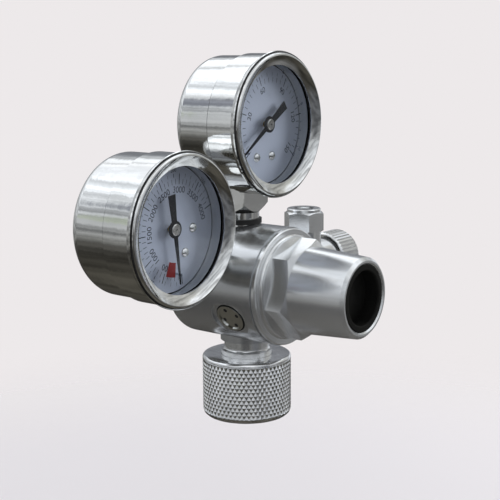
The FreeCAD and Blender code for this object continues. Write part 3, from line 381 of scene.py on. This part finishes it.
def lathe(profile, steps):
    """Vertices and faces of a closed (radius, height) outline turned about Z."""
    vertices = []
    faces = []
    count = len(profile)
    for k in range(steps):
        angle = 2 * math.pi * k / steps
        for radius, height in profile:
            vertices.append(on_circle(radius, angle, height))
    for k in range(steps):
        here = k * count
        there = (k + 1) % steps * count
        for i in range(count):
            j = (i + 1) % count
            faces.append((here + i, there + i, there + j, here + j))
    return vertices, faces


def smooth_by_angle(thing):
    bpy.context.view_layer.objects.active = thing
    thing.select_set(True)
    bpy.ops.object.shade_smooth_by_angle(angle=math.radians(smooth_angle))
    thing.select_set(False)


# Cylinder nut

def nut_shell():
    """The nut's turned shape, with a cylinder at the knurl's grooves."""
    profile = [
        (nut_thread_radius + nut_mouth_chamfer, 0.0),
        (nut_radius - nut_foot_inset, 0.0),
        (nut_radius - nut_bevel_inset, nut_bevel_height),
        (nut_radius - nut_rim_inset, knurl_low - nut_rim_gap),
        (nut_radius - knurl_depth, knurl_low),
        (nut_radius - knurl_depth, knurl_high),
        (nut_radius - nut_band_inset, knurl_high + nut_band_low),
        (nut_radius - nut_band_inset, knurl_high + nut_band_high),
        (nut_radius - nut_groove_inset, knurl_high + nut_groove_low),
        (nut_radius - nut_groove_inset, knurl_high + nut_groove_high),
    ]
    for degrees in range(0, 91, 15):
        angle = math.radians(degrees)
        radius = nut_radius - nut_top_inset - nut_top_round + nut_top_round * math.cos(angle)
        profile.append((radius, nut_height - nut_top_round + nut_top_round * math.sin(angle)))
    profile += [
        (nut_neck_radius, nut_height),
        (nut_neck_radius, nut_shoulder),
        (nut_thread_radius + nut_thread_relief, nut_shoulder),
        (nut_thread_radius + nut_thread_relief, nut_thread_length),
        (nut_thread_radius, nut_thread_length),
        (nut_thread_radius, nut_mouth_chamfer),
    ]
    vertices, faces = lathe(profile, 128)
    shell = piece("nut_shell", vertices, faces, "cylinder_nut", "knurled_plate")
    smooth_by_angle(shell)
    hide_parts("knurled_nut")


def nut_knurl():
    """Diamond pyramids: crossing grooves leave a point in the middle of each."""
    columns = 2 * knurl_count
    rows = int(2 * knurl_rows)
    vertices = []
    for n in range(rows + 1):
        height = knurl_low + (knurl_high - knurl_low) * n / rows
        for m in range(columns):
            groove = (m + n) % 2 == 0
            radius = nut_radius - (knurl_depth if groove else 0.0)
            vertices.append(on_circle(radius, 2 * math.pi * m / columns, height))
    faces = []
    for n in range(rows):
        for m in range(columns):
            a = n * columns + m
            b = n * columns + (m + 1) % columns
            c = (n + 1) * columns + (m + 1) % columns
            d = (n + 1) * columns + m
            if (m + n) % 2 == 0:
                faces += [(a, b, c), (a, c, d)]
            else:
                faces += [(a, b, d), (b, c, d)]
    piece("nut_knurl", vertices, faces, "cylinder_nut", "knurled_plate")


def nut_thread():
    """A V thread inside the mouth of the nut, fading out at both ends."""
    steps = 48
    total = int((nut_thread_length - thread_ends) / thread_pitch * steps)
    root = nut_thread_radius + thread_root_sink
    vertices = []
    for k in range(total + 1):
        angle = 2 * math.pi * k / steps
        middle = thread_start + thread_pitch * k / steps
        fade = min(1.0, k / steps * thread_fade_turns, (total - k) / steps * thread_fade_turns)
        crest = nut_thread_radius - thread_depth * fade
        section = (
            (root, -thread_root_half),
            (crest, -thread_crest_half),
            (crest, thread_crest_half),
            (root, thread_root_half),
        )
        for radius, share in section:
            vertices.append(on_circle(radius, angle, middle + thread_pitch * share))
    faces = []
    for k in range(total):
        for i in range(3):
            a = 4 * k + i
            faces.append((a, a + 4, a + 5, a + 1))
    thread = piece("nut_thread", vertices, faces, "cylinder_nut", "knurled_plate")
    smooth_by_angle(thread)


# Dials

def dial_point(prefix, radius, angle, lift):
    """A point on a dial, in metres, from millimetres and degrees."""
    centre = gauge_centres[prefix]
    turn = math.radians(angle)
    return Vector((dial_front + lift * MM, centre.y + radius * MM * math.cos(turn),
                   centre.z + radius * MM * math.sin(turn)))


def dial_ticks(prefix, scale):
    """One mesh with every tick of both scales of a dial."""
    sweep = scale["step"] * scale["count"]
    marks = []
    total = scale["count"] * scale["minor"]
    for k in range(total + 1):
        major = k % scale["minor"] == 0
        outer = tick_major_outer if major else tick_minor_outer
        half = tick_major_half if major else tick_minor_half
        marks.append((scale["zero"] - sweep * k / total, tick_inner, outer, half))
    steps = int(scale["second"] / scale["second_step"] * second_minor)
    for k in range(steps + 1):
        angle = scale["zero"] - sweep * k * scale["second_step"] / second_minor / scale["second"]
        half = second_major_half if k % second_minor == 0 else second_minor_half
        marks.append((angle, second_inner, second_outer, half))
    vertices = []
    faces = []
    for angle, inner, outer, half in marks:
        start = len(vertices)
        for radius, sign in ((inner, -1), (outer, -1), (outer, 1), (inner, 1)):
            vertices.append(dial_point(prefix, radius, angle + sign * math.degrees(half / outer), tick_lift))
        faces.append((start, start + 1, start + 2, start + 3))
    ticks = piece(prefix + "_dial_ticks", vertices, faces, "regulator", "pointer_paint")
    paint(ticks, ink)


def number_mesh(words, size):
    """The flat mesh of a few digits, centred, in millimetres."""
    curve = bpy.data.curves.new("digits", "FONT")
    curve.body = words
    curve.size = size * font_size_per_height
    curve.align_x = "CENTER"
    curve.align_y = "CENTER"
    maker = bpy.data.objects.new("digits", curve)
    bpy.context.collection.objects.link(maker)
    bpy.context.view_layer.update()
    mesh = bpy.data.meshes.new_from_object(maker.evaluated_get(bpy.context.evaluated_depsgraph_get()))
    bpy.data.objects.remove(maker)
    return mesh


def dial_numbers(prefix, name, marks, size):
    """One mesh of numbers from (words, radius, angle); each number's top points outwards."""
    made = bmesh.new()
    for words, radius, angle in marks:
        mesh = number_mesh(words, size)
        origin = dial_point(prefix, radius, angle, number_lift)
        turn = math.radians(angle)
        upward = Vector((0, math.cos(turn), math.sin(turn)))
        sideways = Vector((0, math.sin(turn), -math.cos(turn)))
        placed = Matrix((
            (0, 0, 1, origin.x),
            (sideways.y * MM, upward.y * MM, 0, origin.y),
            (sideways.z * MM, upward.z * MM, 0, origin.z),
            (0, 0, 0, 1),
        ))
        mesh.transform(placed)
        made.from_mesh(mesh)
        bpy.data.meshes.remove(mesh)
    result = bpy.data.meshes.new(prefix + name)
    made.to_mesh(result)
    made.free()
    thing = bpy.data.objects.new(prefix + name, result)
    bpy.context.collection.objects.link(thing)
    paint(thing, ink)
    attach(thing, "regulator")


def red_patch():
    """The plain red patch beside the first marks of the high pressure dial."""
    vertices = []
    for radius in (patch_inner, patch_outer):
        for k in range(patch_steps + 1):
            angle = patch_start + patch_sweep * k / patch_steps
            vertices.append(dial_point("high", radius, angle, patch_lift))
    row = patch_steps + 1
    faces = [(k, k + 1, k + row + 1, k + row) for k in range(patch_steps)]
    patch = piece("high_red_patch", vertices, faces, "regulator", "pointer_paint")
    paint(patch, red_ink)


def dial_marks(prefix, scale):
    """Ticks, main numbers and the smaller outer numbers of a dial."""
    dial_ticks(prefix, scale)
    sweep = scale["step"] * scale["count"]
    marks = []
    for k in range(1, scale["count"] + 1):
        marks.append((str(scale["label"] * k), label_radius, scale["zero"] - scale["step"] * k))
    dial_numbers(prefix, "_dial_numbers", marks, label_height)
    marks = []
    for k in range(1, int(scale["second"] / scale["second_step"]) + 1):
        value = k * scale["second_step"]
        marks.append((str(value), second_radius, scale["zero"] - sweep * value / scale["second"]))
    dial_numbers(prefix, "_small_numbers", marks, second_height)


# Small pieces on the gauges

def gauge_ring(prefix, name, profile, steps, body, slot):
    """A ring round a gauge's own axis; the profile's heights are places along X."""
    centre = gauge_centres[prefix]
    vertices, faces = lathe(profile, steps)
    vertices = [Vector((v.z, centre.y + v.x, centre.z + v.y)) for v in vertices]
    smooth_by_angle(piece(prefix + name, vertices, faces, body, slot))


def dark_band(prefix, name, low, high, inner, outer):
    """A thin black band of painted shade round a gauge: places along X and radii in millimetres."""
    profile = [(inner, low), (outer, low), (outer, high), (inner, high)]
    gauge_ring(prefix, name, profile, 96, "regulator", "black_rubber")


def gauge_gaps(prefix):
    """Black bands of painted shade in the gaps where the bezel's skirt ends on the case and where its crest
    is crimped.
    """
    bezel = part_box(prefix + "_gauge_bezel")
    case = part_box(prefix + "_gauge_case")
    skirt_end = bezel[0].x / MM
    case_radius = (case[1].y - case[0].y) / MM / 2
    # Painted shade in the seam where the bezel's skirt ends on the case
    dark_band(prefix, "_case_seam_shade", skirt_end - seam_length, skirt_end,
              case_radius - seam_sink, case_radius + seam_rise)
    # Painted shade in the groove where the bezel's crest is crimped
    groove = bezel[1].x / MM - crimp_from_front
    bezel_radius = (bezel[1].y - bezel[0].y) / MM / 2
    dark_band(prefix, "_crimp_gap_shade", groove - crimp_back, groove + crimp_fore,
              bezel_radius - crimp_inner_inset, bezel_radius - crimp_outer_inset)


def hub_cap(prefix):
    """The bright cap of the pointer's hub, with a small pit in the middle."""
    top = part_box(prefix + "_gauge_pointer")[1].x / MM + cap_lift
    profile = [
        (cap_pit_floor_radius, top - cap_pit_depth),
        (cap_pit_radius, top),
        (cap_flat_radius, top),
        (cap_bevel_radius, top - cap_bevel),
        (cap_radius, top - cap_edge),
        (cap_radius, top - cap_thickness),
        (cap_pit_floor_radius, top - cap_thickness),
    ]
    gauge_ring(prefix, "_hub_cap", profile, 40, prefix + "_pointer", "bare_steel")


# Relief plug: painted shade in its holes and in the gap round it

def relief_details():
    """Black discs and a black ring of painted shade, over the relief plug's holes and in the gap round it.
    """
    turn = math.radians(relief_angle)
    outward = Vector((0, math.cos(turn), math.sin(turn)))
    across = Vector((0, math.sin(turn), -math.cos(turn)))
    along = Vector((1, 0, 0))
    middle = Vector((relief_x * MM, 0, axis_height))
    vertices = []
    faces = []

    def ring(x, y, height, inner, outer, steps):
        start = len(vertices)
        for k in range(steps):
            angle = 2 * math.pi * k / steps
            for radius in (inner, outer):
                place = along * (x + radius * math.cos(angle)) + across * (y + radius * math.sin(angle))
                vertices.append(middle + (place + outward * height) * MM)
        for k in range(steps):
            a = start + 2 * k
            b = start + 2 * ((k + 1) % steps)
            faces.append((a, a + 1, b + 1, b))

    # Painted shade over each hole
    for k in range(relief_hole_count):
        angle = math.radians(relief_hole_turn + 360 / relief_hole_count * k)
        x = relief_hole_circle * math.cos(angle)
        y = relief_hole_circle * math.sin(angle)
        ring(x, y, relief_face + relief_shade_lift, relief_shade_eye, relief_hole_shade_radius, 20)
    # Painted shade in the gap between the plug and its pocket
    ring(0, 0, relief_face - relief_gap_depth, relief_plug_radius + relief_shade_clearance,
         relief_pocket_radius - relief_shade_clearance, 48)
    piece("relief_shade_discs", vertices, faces, "regulator", "black_rubber")


nut_shell()
nut_knurl()
nut_thread()
dial_marks("high", high_scale)
dial_marks("low", low_scale)
red_patch()
for prefix in gauge_centres:
    hub_cap(prefix)
    gauge_gaps(prefix)
relief_details()


# Studio

# Height of a ray and the room's colour there, from the floor to the ceiling
room_levels = (
    (-1.0, (0.11, 0.105, 0.09)),
    (-0.76, (0.075, 0.070, 0.058)),
    (-0.50, (0.052, 0.049, 0.042)),
    (-0.31, (0.085, 0.082, 0.075)),
    (-0.22, (0.25, 0.25, 0.24)),
    (0.06, (0.45, 0.46, 0.47)),
    (0.42, (0.76, 0.79, 0.83)),
    (0.65, (1.05, 1.07, 1.10)),
    (1.0, (0.92, 0.94, 0.97)),
)
# Azimuth and elevation, inner and outer half width in degrees, colour, share; later ones cover earlier ones
soft_boxes = (
    (-142, 10, 12, 30, (0.22, 0.23, 0.25), 1.0),
    (-170, -4, 6, 18, (0.85, 0.88, 0.94), 1.0),
    (-22, 31, 8, 19, (1.0, 1.03, 1.08), 0.85),
    (35, -12, 8, 26, (0.07, 0.068, 0.066), 1.0),
    (-45, 28, 3.2, 8, (0.09, 0.10, 0.15), 0.72),
    (-76, 52, 10, 30, (1.22, 1.27, 1.34), 1.0),
    (-44, 10, 1, 5, (0.42, 0.48, 0.32), 0.5),
    (142, -12, 12, 30, (0.20, 0.20, 0.20), 1.0),
    (86, -10, 10, 26, (0.14, 0.145, 0.155), 1.0),
    (150, 30, 12, 32, (0.50, 0.50, 0.48), 1.0),
    (136, 48, 10, 22, (1.36, 1.40, 1.46), 1.0),
    (-178, 50, 8, 20, (1.30, 1.36, 1.44), 0.9),
    (-139, 43, 9, 20, (1.50, 1.55, 1.62), 1.0),
    (-90, 50, 6, 14, (1.55, 1.60, 1.68), 0.8),
)
ripple_scale = 5.0
ripple_detail = 3.0
ripple_width = 0.14
streak_stretch = (2.2, 2.2, 15.0)
streak_detail = 6.0
streak_noise_range = (0.34, 0.66)
streak_gain_range = (0.52, 1.30)
diffuse_light = (0.38, 0.39, 0.42)

# Azimuth and elevation in degrees, distance and width in metres, watts
lamps = {
    "key_lamp": (-70, 48, 0.9, 0.5, 2.4),
    "side_lamp": (148, 14, 0.9, 0.45, 6.5),
    "top_lamp": (-110, 70, 0.9, 0.6, 0.8),
    "fill_lamp": (40, 40, 0.9, 0.8, 0.6),
}

# Metres
floor_radius = 0.6
floor_level = -0.06
floor_fade_start = 0.12
floor_fade_end = 0.30


def direction(azimuth, elevation):
    """Unit vector towards an azimuth (0 is the -Y side, 90 the +X side) and an elevation."""
    a = math.radians(azimuth)
    e = math.radians(elevation)
    return Vector((math.sin(a) * math.cos(e), -math.cos(a) * math.cos(e), math.sin(e)))


def mix_colours(tree, factor, first, second):
    """Mixes two colours by a factor; a colour may be a constant or a socket."""
    node = tree.nodes.new("ShaderNodeMix")
    node.data_type = "RGBA"
    tree.links.new(factor, node.inputs["Factor"])
    for socket, colour in ((node.inputs["A"], first), (node.inputs["B"], second)):
        if isinstance(colour, bpy.types.NodeSocket):
            tree.links.new(colour, socket)
        else:
            socket.default_value = (*colour, 1.0)
    return node.outputs["Result"]


def rippled_ray(tree, place):
    """The direction of a reflected ray with a soft ripple in it, so that no edge of the room is straight."""
    ripple = tree.nodes.new("ShaderNodeTexNoise")
    ripple.inputs["Scale"].default_value = ripple_scale
    ripple.inputs["Detail"].default_value = ripple_detail
    centre = tree.nodes.new("ShaderNodeVectorMath")
    centre.operation = "SUBTRACT"
    centre.inputs[1].default_value = (ripple_width / 2,) * 3
    shift = tree.nodes.new("ShaderNodeVectorMath")
    shift.operation = "MULTIPLY_ADD"
    shift.inputs[1].default_value = (ripple_width,) * 3
    turned = tree.nodes.new("ShaderNodeVectorMath")
    turned.operation = "NORMALIZE"
    tree.links.new(place, ripple.inputs["Vector"])
    tree.links.new(place, centre.inputs[0])
    tree.links.new(ripple.outputs["Color"], shift.inputs[0])
    tree.links.new(centre.outputs["Vector"], shift.inputs[2])
    tree.links.new(shift.outputs["Vector"], turned.inputs[0])
    return turned.outputs["Vector"]


def room_colour(tree, ray):
    """The room's colour at the height of a ray."""
    parts = tree.nodes.new("ShaderNodeSeparateXYZ")
    height = tree.nodes.new("ShaderNodeMapRange")
    height.inputs["From Min"].default_value = -1.0
    ramp = tree.nodes.new("ShaderNodeValToRGB")
    while len(ramp.color_ramp.elements) < len(room_levels):
        ramp.color_ramp.elements.new(0.5)
    for element, (level, colour) in zip(ramp.color_ramp.elements, room_levels):
        element.position = (level + 1) / 2
        element.color = (*colour, 1.0)
    tree.links.new(ray, parts.inputs["Vector"])
    tree.links.new(parts.outputs["Z"], height.inputs["Value"])
    tree.links.new(height.outputs["Result"], ramp.inputs["Fac"])
    return ramp.outputs["Color"]


def soft_box(tree, ray, room, azimuth, elevation, inner, outer, colour, share):
    """The room with a round soft box or dark flag in that direction."""
    dot = tree.nodes.new("ShaderNodeVectorMath")
    dot.operation = "DOT_PRODUCT"
    dot.inputs[1].default_value = direction(azimuth, elevation)
    spot = tree.nodes.new("ShaderNodeMapRange")
    spot.interpolation_type = "SMOOTHSTEP"
    spot.inputs["From Min"].default_value = math.cos(math.radians(outer))
    spot.inputs["From Max"].default_value = math.cos(math.radians(inner))
    spot.inputs["To Max"].default_value = share
    tree.links.new(ray, dot.inputs[0])
    tree.links.new(dot.outputs["Value"], spot.inputs["Value"])
    return mix_colours(tree, spot.outputs["Result"], room, colour)


def streaked(tree, place, room):
    """The room with level streaks of lighter and darker, as a furnished room gives."""
    flat = tree.nodes.new("ShaderNodeVectorMath")
    flat.operation = "MULTIPLY"
    flat.inputs[1].default_value = streak_stretch
    streak = tree.nodes.new("ShaderNodeTexNoise")
    streak.inputs["Scale"].default_value = 1.0
    streak.inputs["Detail"].default_value = streak_detail
    gain = tree.nodes.new("ShaderNodeMapRange")
    gain.inputs["From Min"].default_value = streak_noise_range[0]
    gain.inputs["From Max"].default_value = streak_noise_range[1]
    gain.inputs["To Min"].default_value = streak_gain_range[0]
    gain.inputs["To Max"].default_value = streak_gain_range[1]
    scaled = tree.nodes.new("ShaderNodeVectorMath")
    scaled.operation = "SCALE"
    tree.links.new(place, flat.inputs[0])
    tree.links.new(flat.outputs["Vector"], streak.inputs["Vector"])
    tree.links.new(streak.outputs["Fac"], gain.inputs["Value"])
    tree.links.new(room, scaled.inputs[0])
    tree.links.new(gain.outputs["Result"], scaled.inputs["Scale"])
    return scaled.outputs["Vector"]


def world_light():
    """A low-key room in reflections, an even light on rough surfaces, and plain pale for the camera."""
    world = bpy.data.worlds.new("studio")
    bpy.context.scene.world = world
    world.use_nodes = True
    tree = world.node_tree
    tree.nodes.clear()
    place = tree.nodes.new("ShaderNodeTexCoord").outputs["Generated"]
    ray = rippled_ray(tree, place)
    room = room_colour(tree, ray)
    for entry in soft_boxes:
        room = soft_box(tree, ray, room, *entry)
    room = streaked(tree, place, room)
    path = tree.nodes.new("ShaderNodeLightPath")
    either = tree.nodes.new("ShaderNodeMath")
    either.operation = "MAXIMUM"
    tree.links.new(path.outputs["Is Camera Ray"], either.inputs[0])
    tree.links.new(path.outputs["Is Transmission Ray"], either.inputs[1])
    base = mix_colours(tree, either.outputs["Value"], diffuse_light, background_colour)
    seen = mix_colours(tree, path.outputs["Is Glossy Ray"], base, room)
    shade = tree.nodes.new("ShaderNodeBackground")
    output = tree.nodes.new("ShaderNodeOutputWorld")
    tree.links.new(seen, shade.inputs["Color"])
    tree.links.new(shade.outputs["Background"], output.inputs["Surface"])


def lamp(name, azimuth, elevation, distance, width, watts):
    """A soft square lamp, aimed at the object and unseen in reflections."""
    data = bpy.data.lights.new(name, "AREA")
    data.size = width
    data.energy = watts
    thing = bpy.data.objects.new(name, data)
    bpy.context.collection.objects.link(thing)
    thing.visible_glossy = False
    thing.visible_transmission = False
    towards = direction(azimuth, elevation)
    thing.location = Vector((0, 0, axis_height)) + towards * distance
    thing.rotation_euler = (-towards).to_track_quat("-Z", "Y").to_euler()


def floor():
    """A pale disc under the object that fades into the background at its edge."""
    made = bmesh.new()
    bmesh.ops.create_circle(made, cap_ends=True, radius=floor_radius, segments=96)
    mesh = bpy.data.meshes.new("floor")
    made.to_mesh(mesh)
    made.free()
    thing = bpy.data.objects.new("floor", mesh)
    bpy.context.collection.objects.link(thing)
    thing.location.z = floor_level
    thing.visible_glossy = False
    material, tree, shader = new_material("floor_paper", background_colour, 0.0, 0.9)
    place = tree.nodes.new("ShaderNodeTexCoord")
    away = tree.nodes.new("ShaderNodeVectorMath")
    away.operation = "LENGTH"
    fade = tree.nodes.new("ShaderNodeMapRange")
    fade.interpolation_type = "SMOOTHSTEP"
    fade.inputs["From Min"].default_value = floor_fade_start
    fade.inputs["From Max"].default_value = floor_fade_end
    clear = tree.nodes.new("ShaderNodeBsdfTransparent")
    tree.links.new(place.outputs["Object"], away.inputs[0])
    tree.links.new(away.outputs["Value"], fade.inputs["Value"])
    mix_surface(tree, fade.outputs["Result"], shader.outputs["BSDF"], clear.outputs["BSDF"])
    paint(thing, material)


def camera():
    """The photograph's camera, a little aside of the line to the body's axis and rolled."""
    roll = math.radians(camera_roll)
    turn = math.radians(camera_azimuth)
    back = direction(camera_azimuth, camera_elevation)
    level = Vector((math.cos(turn), math.sin(turn), 0))
    plumb = back.cross(level)
    right = level * math.cos(roll) + plumb * math.sin(roll)
    up = plumb * math.cos(roll) - level * math.sin(roll)
    data = bpy.data.cameras.new("camera")
    data.lens = camera_lens
    data.sensor_width = 36.0
    data.clip_start = 0.01
    data.clip_end = 20.0
    thing = bpy.data.objects.new("camera", data)
    bpy.context.collection.objects.link(thing)
    thing.rotation_euler = Matrix((right, up, back)).transposed().to_euler()
    behind = Vector((0, 0, axis_height)) + back * camera_distance
    thing.location = behind + right * camera_right + up * camera_up
    bpy.context.scene.camera = thing


world_light()
for name, values in lamps.items():
    lamp(name, *values)
floor()
camera()
bpy.context.scene.view_settings.view_transform = "Standard"
